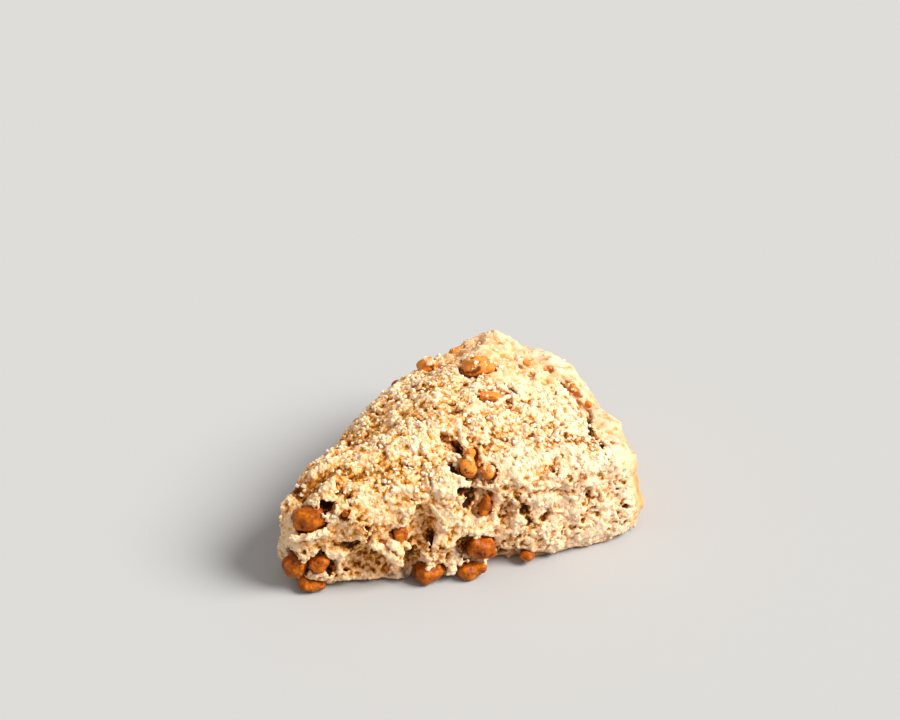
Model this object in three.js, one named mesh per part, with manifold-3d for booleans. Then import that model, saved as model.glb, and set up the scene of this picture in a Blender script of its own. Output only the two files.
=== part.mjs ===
// A wedge-cut scone with cinnamon chips: one baked dough body, and every chip that shows at its surface as a
// piece of its own, seated in a pocket of the dough.
//
// Units are millimetres. +Z is up, +X runs from the wedge's tip to its round rim, and the front cut face looks
// towards -Y. The origin is on the resting face, under the middle of the bounding box.

import * as THREE from "three";
import { ImprovedNoise } from "three/addons/math/ImprovedNoise.js";
import { mergeVertices } from "three/addons/utils/BufferGeometryUtils.js";
import Module from "manifold-3d";

const wasm = await Module();
wasm.setup();

// ---- driving dimensions ----

// Stations round the wedge, seen from above, from the tip past the front cut face, the rim and the back cut
// face: x and y of the wall, the height of the top's edge there, and the radius that edge is rounded to.
const stations = [
  [-52, -1, 24.6, 7],
  [-50.4, -6.4, 25.6, 7],
  [-43.2, -10.8, 29, 7],
  [-30, -17.8, 31.2, 9],
  [-16, -26, 33.5, 9],
  [-2, -29.4, 34.5, 9],
  [14, -34.8, 34, 9],
  [28, -37.4, 32, 9],
  [39.8, -37.6, 29, 10],
  [43.6, -33.2, 27.5, 10],
  [48, -22.4, 29.6, 12],
  [51.2, -6, 32, 12],
  [52.2, 8, 33.4, 12],
  [48.8, 22.8, 34, 12],
  [41.2, 33, 35.2, 11],
  [32.2, 35.6, 32, 9],
  [19.6, 33.4, 32.8, 9],
  [2.6, 28.3, 34.6, 9],
  [-14.4, 20.8, 34.3, 9],
  [-30.4, 13.2, 30, 8],
  [-42.4, 9.2, 28, 6],
  [-49.8, 5.2, 26.8, 6],
];

const crown = new THREE.Vector3(0, 0, 39.4); // the middle of the top
const footRadius = 1.8; // the bottom edge
const footTuck = 0.4; // how far the foot lies inside the walls
const sideBulge = 0.5; // how far the walls swell at half height

// The top's edge rounds off towards a spine along the middle of the wedge.
const spineFrom = -39;
const spineTo = 14;
const spineLean = 0.36; // how far ahead of the wall its point on the spine lies, for each mm from the spine

// The uneven bake: two waves of noise over the whole surface.
const bakeWaves = [
  { length: 15, height: 1.5, phase: [0, 7, 0] },
  { length: 8.5, height: 0.5, phase: [3, 0, 5] },
];

const stepsPerStation = 3;
const downCount = 26; // steps from the crown to the middle of the foot

// Swells of the baked dough, and hollows where push is negative: the middle, how far the surface moves and how
// far around it moves.
const swells = [
  { at: [-39.5, 5, 30], push: 0.6, reach: 4.5 }, // the hump behind the tip
  { at: [-44.5, 3, 27], push: -1.8, reach: 2.8 }, // the nick between hump and tip
  { at: [-52, -0.5, 22], push: 1.2, reach: 5 }, // the tip's upper lip
  { at: [-52, -4, 7], push: -2.6, reach: 5 }, // the tip sinks behind its lower chip
  { at: [-19.5, -23.5, 2.5], push: 2.6, reach: 5 }, // foot of the front cut face, round a chip
  { at: [3, -30.5, 2], push: -3.4, reach: 4.5 },
  { at: [46, -10, 30], push: -3, reach: 6.5 }, // the dip of the rim's lip
  { at: [46.4, -22, 27.5], push: 2.2, reach: 4.5 },
  { at: [17, 3, 39], push: 1.2, reach: 14 }, // the top is highest towards the rim
  { at: [-30, -12, 32], push: 1.2, reach: 7 }, // soft humps of the top
  { at: [-16, 4, 37], push: -1.2, reach: 8 },
  { at: [26, -16, 36], push: 1.2, reach: 9 },
  { at: [-7, -14, 36], push: -1.4, reach: 5 }, // the dip beside the crevice
  { at: [-37, -15, 19], push: 1.6, reach: 6 }, // the ledge over the tip's hollow
  { at: [16, -35.5, 20], push: 1, reach: 9 },
  { at: [52, 12, 14], push: 1, reach: 12 },
  { at: [20, 34, 18], push: 1.2, reach: 8 },
  { at: [-8, 24, 12], push: -1.2, reach: 8 },
  { at: [-26, 12, 31], push: -1.8, reach: 7 }, // the low places of the back edge
  { at: [9, 28, 34], push: -1.2, reach: 7 },
  { at: [25, 30, 32], push: -1, reach: 6 },
  { at: [44, 26, 33], push: -1, reach: 6 },
  { at: [-28, 15, 20], push: 1.2, reach: 7 },
];

// Hollows torn out of the dough: the middle, the half sizes and the turn about +Z in degrees.
const hollows = [
  { at: [-34, -18.4, 7.6], half: [10.5, 6.4, 6], turn: -27 }, // under the tip's ledge
  { at: [-22.4, -23, 18.2], half: [5, 4.4, 7.8], turn: -28 }, // the arch in the front cut face
  { at: [-23.6, -22.4, 8.2], half: [2.4, 4, 5], turn: -28 }, // the gap beside the low chip
  { at: [0.4, -31, 18.6], half: [2.8, 3.6, 4.6], turn: -20 },
  { at: [-7.8, -28.4, 25], half: [2.4, 3, 1.8], turn: -20 }, // the two holes beside the upright chip
  { at: [-7.4, -28.8, 21.2], half: [1.7, 2.8, 1.8], turn: -20 },
  { at: [-9.6, -27.6, 10], half: [2.4, 3.4, 3.6], turn: -20 }, // round the foot chips
  { at: [3.6, -31.4, 3.4], half: [4.4, 3, 2.4], turn: -18 },
  { at: [-43, -8.8, 26.2], half: [2.4, 2.8, 2.2], turn: -24 }, // over the tip's upper chip
  { at: [-43.4, -11, 7.8], half: [1.8, 2.4, 2.4], turn: -24 },
  { at: [-12, 23.6, 17], half: [5.5, 3.6, 4.5], turn: 24 }, // the back cut face
  { at: [14, 33.6, 9], half: [4.5, 3.4, 3.6], turn: 18 },
  { at: [-33, 14.2, 12], half: [3.4, 2.8, 4.6], turn: 24 },
];

// Cracks of the top crust: their course seen from above, how wide they are and how deep they reach.
const cracks = [
  { width: 1.5, depth: 2, course: [[18, 15.3], [15.2, 10], [14.4, 4.4]] },
  { width: 1.2, depth: 1.6, course: [[16.8, -0.6], [17.2, -5], [17.6, -9.4]] },
  { width: 1.5, depth: 2, course: [[40.2, -2.4], [40.6, -9], [40.6, -14.4], [36.8, -20]] },
  { width: 1.7, depth: 2.2, course: [[35.8, -21.6], [33.2, -28.6], [30.8, -33.6]] },
  { width: 1.6, depth: 2.6, course: [[-7.4, -9.2], [-4.8, -15], [-5.8, -19]] },
];

const chipGap = 0.4; // clear space between a chip and its pocket

// The chips: their middle, the size along, across and through them, the way they face and their spin about it.
const chips = {
  chip_tip_upper: { at: [-46.9, -6.2, 22.8], size: [8.8, 6.6, 6], facing: [-0.6, -0.6, 0.5], spin: 14 },
  chip_tip_lower: { at: [-50.4, -4.4, 7.5], size: [6.8, 6.8, 6.4], facing: [-0.95, -0.3, 0], spin: 10 },
  chip_tip_side: { at: [-46, -8.8, 9], size: [5.4, 4.6, 4.6], facing: [-0.5, -0.85, 0.1], spin: 20 },
  chip_tip_foot: { at: [-47.9, -7.9, 2], size: [7.4, 3, 4], facing: [-0.6, -0.8, 0], spin: -2 },
  chip_foot_left: { at: [-19.8, -22.8, 3.2], size: [8.4, 4.6, 5.6], facing: [-0.45, -0.9, 0], spin: 8 },
  chip_foot_mid: { at: [-5.8, -27.8, 8.7], size: [8.6, 6.2, 6], facing: [-0.35, -0.9, 0.1], spin: -22 },
  chip_foot_under: { at: [-9, -28.2, 2.7], size: [8, 4.2, 4.8], facing: [-0.35, -0.9, 0], spin: 4 },
  chip_foot_small: { at: [7.2, -31.6, 2.7], size: [4, 2.8, 2.8], facing: [-0.3, -0.95, 0], spin: 0 },
  chip_ridge: { at: [-6.3, -22.2, 32.2], size: [6.8, 4, 4.8], facing: [-0.2, -0.4, 0.85], spin: 70 },
  chip_ridge_side: { at: [-2.4, -25.8, 31], size: [4, 3.4, 3.4], facing: [-0.2, -0.6, 0.7], spin: 10 },
  chip_ridge_small: { at: [-3.3, -19.4, 33.9], size: [2.8, 2.4, 2.4], facing: [0, 0, 1], spin: 30 },
  chip_upright: { at: [-4.9, -28.2, 22.6], size: [6.2, 2.8, 2.8], facing: [-0.3, -0.95, 0.1], spin: 82 },
  chip_top_large: { at: [19, 8.6, 38.8], size: [9.4, 7.2, 5], facing: [0, 0.15, 1], spin: -30 },
  chip_top_low: { at: [13, -5.4, 38.4], size: [7, 4, 3.6], facing: [0, -0.1, 1], spin: -36 },
  chip_back_edge: { at: [14.2, 26.4, 31.9], size: [6.6, 5, 4.2], facing: [-0.1, 0.5, 0.85], spin: 20 },
  chip_back_edge_thin: { at: [26.6, 29.6, 30.3], size: [5.6, 3.2, 3], facing: [0, 0.45, 0.9], spin: 10 },
  chip_face_mid: { at: [-26.6, -19.6, 17], size: [4.2, 3.8, 3.6], facing: [-0.45, -0.9, 0], spin: 30 },
  chip_face_tiny: { at: [-39.4, -12.6, 24.6], size: [2.6, 2, 2], facing: [-0.4, -0.8, 0.4], spin: 0 },
  chip_rim_crack: { at: [41.4, -7, 30.8], size: [8, 2.6, 3], facing: [0.1, -0.2, 1], spin: -86 },
  chip_rim_crack_end: { at: [41.2, -13.6, 29.6], size: [3, 2.4, 2.4], facing: [0.1, -0.2, 1], spin: -60 },
  chip_rim_corner: { at: [33.2, -28, 29.3], size: [3, 2.4, 2.4], facing: [0.3, -0.2, 0.9], spin: 20 },
  chip_rim_lip: { at: [36.6, -30.6, 27.7], size: [2.8, 2.2, 2.2], facing: [0.3, 0, 0.95], spin: -20 },
  chip_top_far: { at: [33.2, 5.2, 36.4], size: [3.2, 2.6, 2.2], facing: [0.2, 0, 1], spin: 60 },
  chip_top_far_low: { at: [32, 0.4, 36.1], size: [2.6, 2.2, 2], facing: [0.2, 0, 1], spin: 10 },
  chip_top_rim: { at: [39.8, 3.2, 33.6], size: [3, 2.4, 2.2], facing: [0.3, 0, 1], spin: -40 },
  chip_back_tip: { at: [-39.6, 9.8, 13.4], size: [7, 5.8, 5], facing: [-0.4, 0.9, 0], spin: 20 },
  chip_back_low: { at: [-21.8, 16.8, 7.6], size: [8.4, 6, 5.6], facing: [-0.4, 0.9, 0], spin: -15 },
  chip_back_high: { at: [-14.2, 20.2, 25.6], size: [6, 4.6, 4.4], facing: [-0.3, 0.9, 0.2], spin: 40 },
  chip_back_large: { at: [7.4, 30.4, 23.4], size: [8.6, 6.4, 5.6], facing: [-0.35, 0.92, 0], spin: 10 },
  chip_back_foot: { at: [17, 32.4, 5], size: [7.4, 4.6, 5], facing: [-0.3, 0.95, 0], spin: 5 },
  chip_back_round: { at: [26, 35.4, 19.6], size: [6.4, 5, 5], facing: [0, 1, 0], spin: -30 },
  chip_back_small: { at: [33, 36.4, 8.4], size: [4, 3.2, 3.2], facing: [0.2, 1, 0], spin: 60 },
  chip_rim_side: { at: [50.4, 20.8, 15.4], size: [6.4, 4.6, 4.4], facing: [0.95, 0.3, 0], spin: 30 },
  chip_rim_low: { at: [50.2, -8, 9.4], size: [4.6, 3.4, 3.4], facing: [1, -0.2, 0], spin: -20 },
};

const doughColour = new THREE.MeshStandardMaterial({ color: 0xe6c48f, roughness: 0.85, metalness: 0 });
const chipColour = new THREE.MeshStandardMaterial({ color: 0xb0602a, roughness: 0.45, metalness: 0 });

// ---- the dough's plain form ----

const wallCurve = new THREE.CatmullRomCurve3(
  stations.map(([x, y, height]) => new THREE.Vector3(x, y, height)),
  true,
);

// The wall at a share of the way round: its place in plan, the height of the top's edge, the edge's radius and
// the direction that the edge rounds off in.
function wallAt(share) {
  const place = wallCurve.getPoint((share + 1) % 1);
  const at = ((share + 1) % 1) * stations.length;
  const before = stations[Math.floor(at)][3];
  const after = stations[(Math.floor(at) + 1) % stations.length][3];
  const edgeRadius = THREE.MathUtils.lerp(before, after, at % 1);
  const plan = new THREE.Vector2(place.x, place.y);
  const spineX = THREE.MathUtils.clamp(place.x + Math.abs(place.y) * spineLean, spineFrom, spineTo);
  const inward = new THREE.Vector2(spineX, 0).sub(plan).normalize();
  return { plan, height: place.z, edgeRadius, inward };
}

// A point of the plain form. down runs from 0 at the crown to 1 at the middle of the foot.
function formPoint({ plan, height, edgeRadius, inward }, down) {
  const topEnd = 0.38;
  const edgeEnd = 0.58;
  const wallEnd = 0.82;
  const footEnd = 0.88;
  const inset = (distance) => plan.clone().addScaledVector(inward, distance);
  if (down < topEnd) {
    const out = down / topEnd;
    const place = new THREE.Vector2(crown.x, crown.y).lerp(inset(edgeRadius), out);
    return new THREE.Vector3(place.x, place.y, THREE.MathUtils.lerp(crown.z, height, out ** 2));
  }
  if (down < edgeEnd) {
    const turn = ((down - topEnd) / (edgeEnd - topEnd)) * (Math.PI / 2);
    const place = inset(edgeRadius * (1 - Math.sin(turn)));
    return new THREE.Vector3(place.x, place.y, height - edgeRadius * (1 - Math.cos(turn)));
  }
  if (down < wallEnd) {
    const fall = (down - edgeEnd) / (wallEnd - edgeEnd);
    const place = inset(footTuck * fall ** 2 - sideBulge * Math.sin(Math.PI * fall));
    return new THREE.Vector3(place.x, place.y, THREE.MathUtils.lerp(height - edgeRadius, footRadius, fall));
  }
  if (down < footEnd) {
    const turn = ((down - wallEnd) / (footEnd - wallEnd)) * (Math.PI / 2);
    const place = inset(footTuck + footRadius * (1 - Math.cos(turn)));
    return new THREE.Vector3(place.x, place.y, footRadius * (1 - Math.sin(turn)));
  }
  const out = (1 - down) / (1 - footEnd);
  const place = new THREE.Vector2(crown.x, crown.y).lerp(inset(footTuck + footRadius), out);
  return new THREE.Vector3(place.x, place.y, 0);
}

// A sphere's grid, moved point by point to the plain form.
function plainForm() {
  const aroundCount = stations.length * stepsPerStation;
  const geometry = new THREE.SphereGeometry(1, aroundCount, downCount);
  const { position, uv } = geometry.attributes;
  for (let i = 0; i < position.count; i += 1) {
    const around = Math.round(uv.getX(i) * aroundCount) / aroundCount;
    const place = formPoint(wallAt(around), 1 - uv.getY(i));
    position.setXYZ(i, place.x, place.y, place.z);
  }
  return placesOnly(geometry);
}

// The geometry with its places only, and its shared vertices merged.
function placesOnly(geometry) {
  const bare = geometry.clone();
  bare.deleteAttribute("normal");
  bare.deleteAttribute("uv");
  return mergeVertices(bare, 1e-4);
}

// ---- swells and the uneven bake ----

const noise = new ImprovedNoise();

function unevenness(place) {
  return bakeWaves.reduce((sum, { length, height, phase: [x, y, z] }) => (
    sum + height * noise.noise(place.x / length + x, place.y / length + y, place.z / length + z)
  ), 0);
}

// Moves the surface in and out, and leaves the resting face flat.
function swell(geometry) {
  const moved = geometry.clone();
  moved.computeVertexNormals();
  const { position, normal } = moved.attributes;
  const place = new THREE.Vector3();
  const out = new THREE.Vector3();
  for (let i = 0; i < position.count; i += 1) {
    place.fromBufferAttribute(position, i);
    out.fromBufferAttribute(normal, i);
    let push = unevenness(place);
    for (const { at, push: most, reach } of swells) {
      push += most * Math.exp(-((place.distanceTo(new THREE.Vector3(...at)) / reach) ** 2));
    }
    push *= THREE.MathUtils.smoothstep(place.z, 0, 2.4);
    place.addScaledVector(out, push);
    position.setXYZ(i, place.x, place.y, Math.max(place.z, 0));
  }
  moved.deleteAttribute("normal");
  return moved;
}

// ---- chips ----

// The turn that brings +Z to the facing direction, with +X level and then spun about that direction.
function seatTurn(facing, spin) {
  const z = new THREE.Vector3(...facing).normalize();
  const x = Math.abs(z.z) > 0.75 ? new THREE.Vector3(1, 0, 0) : new THREE.Vector3(-z.y, z.x, 0);
  x.addScaledVector(z, -x.dot(z)).normalize();
  const y = new THREE.Vector3().crossVectors(z, x);
  const turn = new THREE.Quaternion().setFromRotationMatrix(new THREE.Matrix4().makeBasis(x, y, z));
  return turn.premultiply(new THREE.Quaternion().setFromAxisAngle(z, THREE.MathUtils.degToRad(spin)));
}

// A chip is a blunt lump, thinner at one end. grow widens it on every side, for its pocket.
function chipForm(size, index, grow = 0) {
  const blunt = 2.7; // 2 is an ellipsoid, and more is squarer
  const bumpDepth = 0.12;
  const small = size[0] < 4.5;
  const geometry = new THREE.SphereGeometry(1, small ? 7 : 10, small ? 5 : 7);
  const { position } = geometry.attributes;
  const way = new THREE.Vector3();
  for (let i = 0; i < position.count; i += 1) {
    way.fromBufferAttribute(position, i);
    const powers = Math.abs(way.x) ** blunt + Math.abs(way.y) ** blunt + Math.abs(way.z) ** blunt;
    const bumps = 1 + bumpDepth * noise.noise(way.x * 1.3 + index * 3.7, way.y * 1.3, way.z * 1.3);
    const reach = bumps * powers ** (-1 / blunt);
    const taper = 1 - 0.2 * way.x;
    position.setXYZ(
      i,
      way.x * reach * (size[0] / 2 + grow),
      way.y * reach * taper * (size[1] / 2 + grow),
      way.z * reach * taper * (size[2] / 2 + grow),
    );
  }
  return placesOnly(geometry);
}

function chipMesh(name, { at, size, facing, spin }, index) {
  const mesh = new THREE.Mesh(chipForm(size, index), chipColour);
  mesh.geometry.computeVertexNormals();
  mesh.name = name;
  mesh.position.set(...at);
  mesh.quaternion.copy(seatTurn(facing, spin));
  mesh.updateMatrix();
  return mesh;
}

// ---- solids ----

const { Manifold, Mesh } = wasm;

function toSolid(geometry) {
  return new Manifold(new Mesh({
    numProp: 3,
    vertProperties: Float32Array.from(geometry.attributes.position.array),
    triVerts: Uint32Array.from(geometry.index.array),
  }));
}

function toGeometry(solid) {
  const { vertProperties, triVerts } = solid.getMesh();
  const geometry = new THREE.BufferGeometry();
  geometry.setAttribute("position", new THREE.BufferAttribute(Float32Array.from(vertProperties), 3));
  geometry.setIndex(new THREE.BufferAttribute(Uint32Array.from(triVerts), 1));
  geometry.computeVertexNormals();
  return geometry;
}

function hollowSolid({ at, half, turn }) {
  const geometry = new THREE.SphereGeometry(1, 9, 6);
  geometry.scale(...half);
  geometry.rotateZ(THREE.MathUtils.degToRad(turn));
  geometry.translate(...at);
  return toSolid(placesOnly(geometry));
}

// A crack is a sphere's grid drawn out along its course over the surface, thin at both ends.
function crackSolid(surface, { width, depth, course }, index) {
  const above = (x, y) => new THREE.Raycaster(new THREE.Vector3(x, y, 99), new THREE.Vector3(0, 0, -1));
  const drop = ([x, y]) => above(x, y).intersectObject(surface)[0].point;
  const curve = new THREE.CatmullRomCurve3(course.map(drop));
  const geometry = new THREE.SphereGeometry(1, 6, Math.round(curve.getLength() / 1.8));
  const { position, uv } = geometry.attributes;
  const way = new THREE.Vector3();
  for (let i = 0; i < position.count; i += 1) {
    way.fromBufferAttribute(position, i);
    const along = 1 - uv.getY(i);
    const thin = Math.min(1, 3 * Math.sqrt(along * (1 - along)));
    const spread = Math.hypot(way.x, way.z) || 1;
    const ahead = curve.getTangentAt(along);
    const aside = new THREE.Vector3(-ahead.y, ahead.x, 0).normalize();
    const wander = 0.9 * noise.noise(along * 4, index * 5, 1);
    const half = (width / 2) * (1 + 0.6 * noise.noise(along * 9, index * 3, 8));
    const place = curve.getPointAt(along);
    place.addScaledVector(aside, wander + (half * thin * way.x) / spread);
    place.z += (depth * thin * way.z) / spread;
    position.setXYZ(i, place.x, place.y, place.z);
  }
  return toSolid(placesOnly(geometry));
}

// Only the largest body is dough. A crumb that the pockets cut off is left out.
function largest(solid) {
  return solid.decompose().sort((one, other) => other.volume() - one.volume())[0];
}

// ---- assembly ----

const doughForm = swell(plainForm());
const surface = new THREE.Mesh(doughForm, doughColour);
const chipEntries = Object.entries(chips);
const chipMeshes = chipEntries.map(([name, chip], index) => chipMesh(name, chip, index));
const pockets = chipEntries.map(([, chip], index) => (
  toSolid(chipForm(chip.size, index, chipGap).applyMatrix4(chipMeshes[index].matrix))
));
const cutters = Manifold.union([
  ...hollows.map(hollowSolid),
  ...cracks.map((crack, index) => crackSolid(surface, crack, index)),
  ...pockets,
]);

const dough = new THREE.Mesh(toGeometry(largest(toSolid(doughForm).subtract(cutters))), doughColour);
dough.name = "scone_body";

const scone = new THREE.Group();
scone.add(dough, ...chipMeshes);

// The origin goes under the middle of the whole, on the resting face.
const bounds = new THREE.Box3().setFromObject(scone, true);
const middle = bounds.getCenter(new THREE.Vector3());
scone.position.set(-middle.x, -middle.y, -bounds.min.z);

export default scone;
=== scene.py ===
import math
import bmesh
import bpy
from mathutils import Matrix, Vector


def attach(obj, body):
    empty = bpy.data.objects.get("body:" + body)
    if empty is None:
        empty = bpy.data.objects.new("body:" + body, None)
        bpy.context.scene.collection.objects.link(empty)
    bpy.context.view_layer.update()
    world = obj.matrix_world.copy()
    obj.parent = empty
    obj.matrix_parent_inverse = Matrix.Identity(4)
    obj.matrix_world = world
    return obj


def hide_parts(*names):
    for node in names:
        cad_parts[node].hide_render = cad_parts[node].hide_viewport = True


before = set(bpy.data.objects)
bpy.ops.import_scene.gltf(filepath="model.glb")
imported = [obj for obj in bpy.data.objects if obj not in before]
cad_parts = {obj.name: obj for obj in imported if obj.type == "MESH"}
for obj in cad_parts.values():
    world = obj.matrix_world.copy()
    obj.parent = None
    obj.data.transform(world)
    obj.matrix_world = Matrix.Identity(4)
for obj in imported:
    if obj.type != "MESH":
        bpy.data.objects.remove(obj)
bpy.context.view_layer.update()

scene = bpy.context.scene
mm = 0.001
weld = 0.002 * mm  # vertices nearer than this are one


def tint(code):
    parts = [int(code[i:i + 2], 16) / 255 for i in (1, 3, 5)]
    linear = [c / 12.92 if c <= 0.04045 else ((c + 0.055) / 1.055) ** 2.4 for c in parts]
    return (*linear, 1.0)


def aimAt(item, target):
    item.rotation_euler = (Vector(target) - item.location).to_track_quat("-Z", "Y").to_euler()


def addItem(name, data):
    item = bpy.data.objects.new(name, data)
    scene.collection.objects.link(item)
    return item


def meshFrom(shape, label):
    mesh = bpy.data.meshes.new(label)
    shape.to_mesh(mesh)
    shape.free()
    return mesh


def mergedCopy(names, label):
    shape = bmesh.new()
    for name in names:
        shape.from_mesh(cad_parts[name].data)
    bmesh.ops.remove_doubles(shape, verts=shape.verts, dist=weld)
    return meshFrom(shape, label)


def joinedCopy(items, label):
    shape = bmesh.new()
    for item in items:
        shape.from_mesh(item.data)
    return meshFrom(shape, label)


# An object that only shapes others; each one is removed once it has been used.
def helper(label, mesh):
    item = addItem(label, mesh)
    item.hide_render = True
    return item


def meshBox(mesh, grow):
    low = Vector([min(v.co[i] for v in mesh.vertices) - grow for i in range(3)])
    high = Vector([max(v.co[i] for v in mesh.vertices) + grow for i in range(3)])
    return low, high


# Gives the item the mesh that its modifiers make, and takes them off.
def shaped(item):
    graph = bpy.context.evaluated_depsgraph_get()
    mesh = bpy.data.meshes.new_from_object(item.evaluated_get(graph))
    old = item.data
    item.modifiers.clear()
    item.data = mesh
    mesh.name = item.name
    bpy.data.meshes.remove(old)


def grown(item, label, group):
    item.modifiers.new(label, "NODES").node_group = group
    shaped(item)


def smoothShaded(item):
    for face in item.data.polygons:
        face.use_smooth = True


def finished(piece, finish):
    piece.data.materials.clear()
    piece.data.materials.append(finish)


# Adds a node; what feeds it is a socket, which is linked, or a plain value.
def addNode(tree, kind, feeds=None, **settings):
    made = tree.nodes.new(kind)
    for key, value in settings.items():
        setattr(made, key, value)
    for key, value in (feeds or {}).items():
        if isinstance(value, bpy.types.NodeSocket):
            tree.links.new(value, made.inputs[key])
        else:
            made.inputs[key].default_value = value
    return made


def maths(tree, operation, *values):
    return addNode(tree, "ShaderNodeMath", dict(enumerate(values)), operation=operation).outputs[0]


def total(tree, *values):
    result = values[0]
    for value in values[1:]:
        result = maths(tree, "ADD", result, value)
    return result


def product(tree, *values):
    result = values[0]
    for value in values[1:]:
        result = maths(tree, "MULTIPLY", result, value)
    return result


def remainder(tree, share):
    return maths(tree, "SUBTRACT", 1.0, share)


def centred(tree, value, height):
    return product(tree, maths(tree, "SUBTRACT", value, 0.5), height)


# Runs smoothly from toLow to toHigh while the value goes from low to high.
def ramp(tree, value, low, high, toLow=0.0, toHigh=1.0):
    feeds = {0: value, 1: low, 2: high, 3: toLow, 4: toHigh}
    return addNode(tree, "ShaderNodeMapRange", feeds, interpolation_type="SMOOTHSTEP").outputs[0]


def vectors(tree, operation, *values):
    return addNode(tree, "ShaderNodeVectorMath", dict(enumerate(values)), operation=operation).outputs[0]


def scaled(tree, vector, factor):
    feeds = {0: vector, "Scale": factor}
    return addNode(tree, "ShaderNodeVectorMath", feeds, operation="SCALE").outputs[0]


def dotted(tree, one, other):
    made = addNode(tree, "ShaderNodeVectorMath", {0: one, 1: other}, operation="DOT_PRODUCT")
    return made.outputs["Value"]


def parted(tree, vector):
    return addNode(tree, "ShaderNodeSeparateXYZ", {0: vector}).outputs


def noiseNode(tree, place, size, detail, rough=0.5):
    feeds = {"Vector": place, "Scale": 1 / size, "Detail": detail, "Roughness": rough}
    return addNode(tree, "ShaderNodeTexNoise", feeds)


def noiseField(tree, place, size, detail=1.0, rough=0.5):
    return noiseNode(tree, place, size, detail, rough).outputs[0]


# A push to any side, up to about a half.
def drift(tree, place, size, detail=1.0):
    colour = noiseNode(tree, place, size, detail).outputs["Color"]
    return vectors(tree, "SUBTRACT", colour, (0.5, 0.5, 0.5))


def cellField(tree, place, size):
    return addNode(tree, "ShaderNodeTexVoronoi", {"Vector": place, "Scale": 1 / size, "Randomness": 1.0})


def bump(tree, place, size, height):
    return centred(tree, remainder(tree, cellField(tree, place, size).outputs["Distance"]), height)


cellTurn = (0.6, 0.5, 0.35)


# Turns the cells, whose rows would show where they run along a flat side.
def turned(tree, place):
    feeds = {"Vector": place, "Rotation": cellTurn}
    return addNode(tree, "ShaderNodeVectorRotate", feeds, rotation_type="EULER_XYZ").outputs[0]


def shapeTree(name):
    tree = bpy.data.node_groups.new(name, "GeometryNodeTree")
    tree.interface.new_socket("Geometry", in_out="INPUT", socket_type="NodeSocketGeometry")
    tree.interface.new_socket("Geometry", in_out="OUTPUT", socket_type="NodeSocketGeometry")
    return tree, tree.nodes.new("NodeGroupInput").outputs[0], tree.nodes.new("NodeGroupOutput").inputs[0]


def positionOf(tree):
    return addNode(tree, "GeometryNodeInputPosition").outputs[0]


def normalOf(tree):
    return addNode(tree, "GeometryNodeInputNormal").outputs[0]


def geometryOf(tree, item):
    return addNode(tree, "GeometryNodeObjectInfo", {"Object": item}).outputs["Geometry"]


def named(tree, name):
    return addNode(tree, "GeometryNodeInputNamedAttribute", {"Name": name}, data_type="FLOAT").outputs[0]


def stored(tree, geometry, name, value):
    feeds = {"Geometry": geometry, "Name": name, "Value": value}
    made = addNode(tree, "GeometryNodeStoreNamedAttribute", feeds, data_type="FLOAT", domain="POINT")
    return made.outputs[0]


def blurred(tree, value, times):
    feeds = {"Value": value, "Iterations": times}
    return addNode(tree, "GeometryNodeBlurAttribute", feeds, data_type="FLOAT_VECTOR").outputs[0]


def moved(tree, geometry, offset):
    return addNode(tree, "GeometryNodeSetPosition", {"Geometry": geometry, "Offset": offset}).outputs[0]


def aboveFloor(tree, geometry):
    lifted = vectors(tree, "MAXIMUM", positionOf(tree), (-1.0, -1.0, 0.0))
    return addNode(tree, "GeometryNodeSetPosition", {"Geometry": geometry, "Position": lifted}).outputs[0]


def surfaceGap(tree, geometry):
    near = addNode(tree, "GeometryNodeProximity", {0: geometry}, target_element="FACES")
    return near.outputs["Distance"]


rayWay = (0.2, 0.13, 0.97)  # aslant, so that the ray doesn't run along an edge


# The distance in mm to the solids' surface, less than 0 inside them.
def signedGap(tree, geometry, position):
    ray = {"Target Geometry": geometry, "Source Position": position, "Ray Direction": rayWay}
    cast = addNode(tree, "GeometryNodeRaycast", ray)
    along = dotted(tree, cast.outputs["Hit Normal"], rayWay)
    within = product(tree, cast.outputs["Is Hit"], maths(tree, "GREATER_THAN", along, 0.0))
    sign = maths(tree, "MULTIPLY_ADD", within, -2.0, 1.0)
    return product(tree, surfaceGap(tree, geometry), sign, 1 / mm)


def plainMaterial(name, colour, roughness):
    material = bpy.data.materials.new(name)
    material.use_nodes = True
    shader = material.node_tree.nodes["Principled BSDF"]
    shader.inputs["Base Color"].default_value = tint(colour)
    shader.inputs["Roughness"].default_value = roughness
    return material, shader


# The studio: places in metres, the lens in millimetres.
stage = {
    "eye": (-0.3230, -0.4636, 0.4099),
    "aim": (0.0104, 0.0106, 0.0435),
    "lens": 98.8,
    "clipStart": 0.01,
    "floorSize": 6.0,
    "floorColour": "#b3b8be",
    "floorRoughness": 0.9,
    "worldColour": "#fff7ee",
    "backdropColour": "#dcdcdc",
    "worldStrength": 0.5,
    "keyFrom": (0.5, -0.54, 0.68),
    "keySpread": 34.0,  # degrees
    "keyStrength": 5.1,
    "keyColour": "#fff6ea",
}

camera = bpy.data.cameras.new("camera")
camera.lens = stage["lens"]
camera.clip_start = stage["clipStart"]
cameraItem = addItem("camera", camera)
cameraItem.location = stage["eye"]
aimAt(cameraItem, stage["aim"])
scene.camera = cameraItem
scene.view_settings.view_transform = "Standard"

floorShape = bmesh.new()
bmesh.ops.create_grid(floorShape, x_segments=1, y_segments=1, size=stage["floorSize"] / 2)
floor = addItem("studio_floor", meshFrom(floorShape, "studio_floor"))
floorFinish = plainMaterial("studio floor", stage["floorColour"], stage["floorRoughness"])[0]
floor.data.materials.append(floorFinish)

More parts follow.
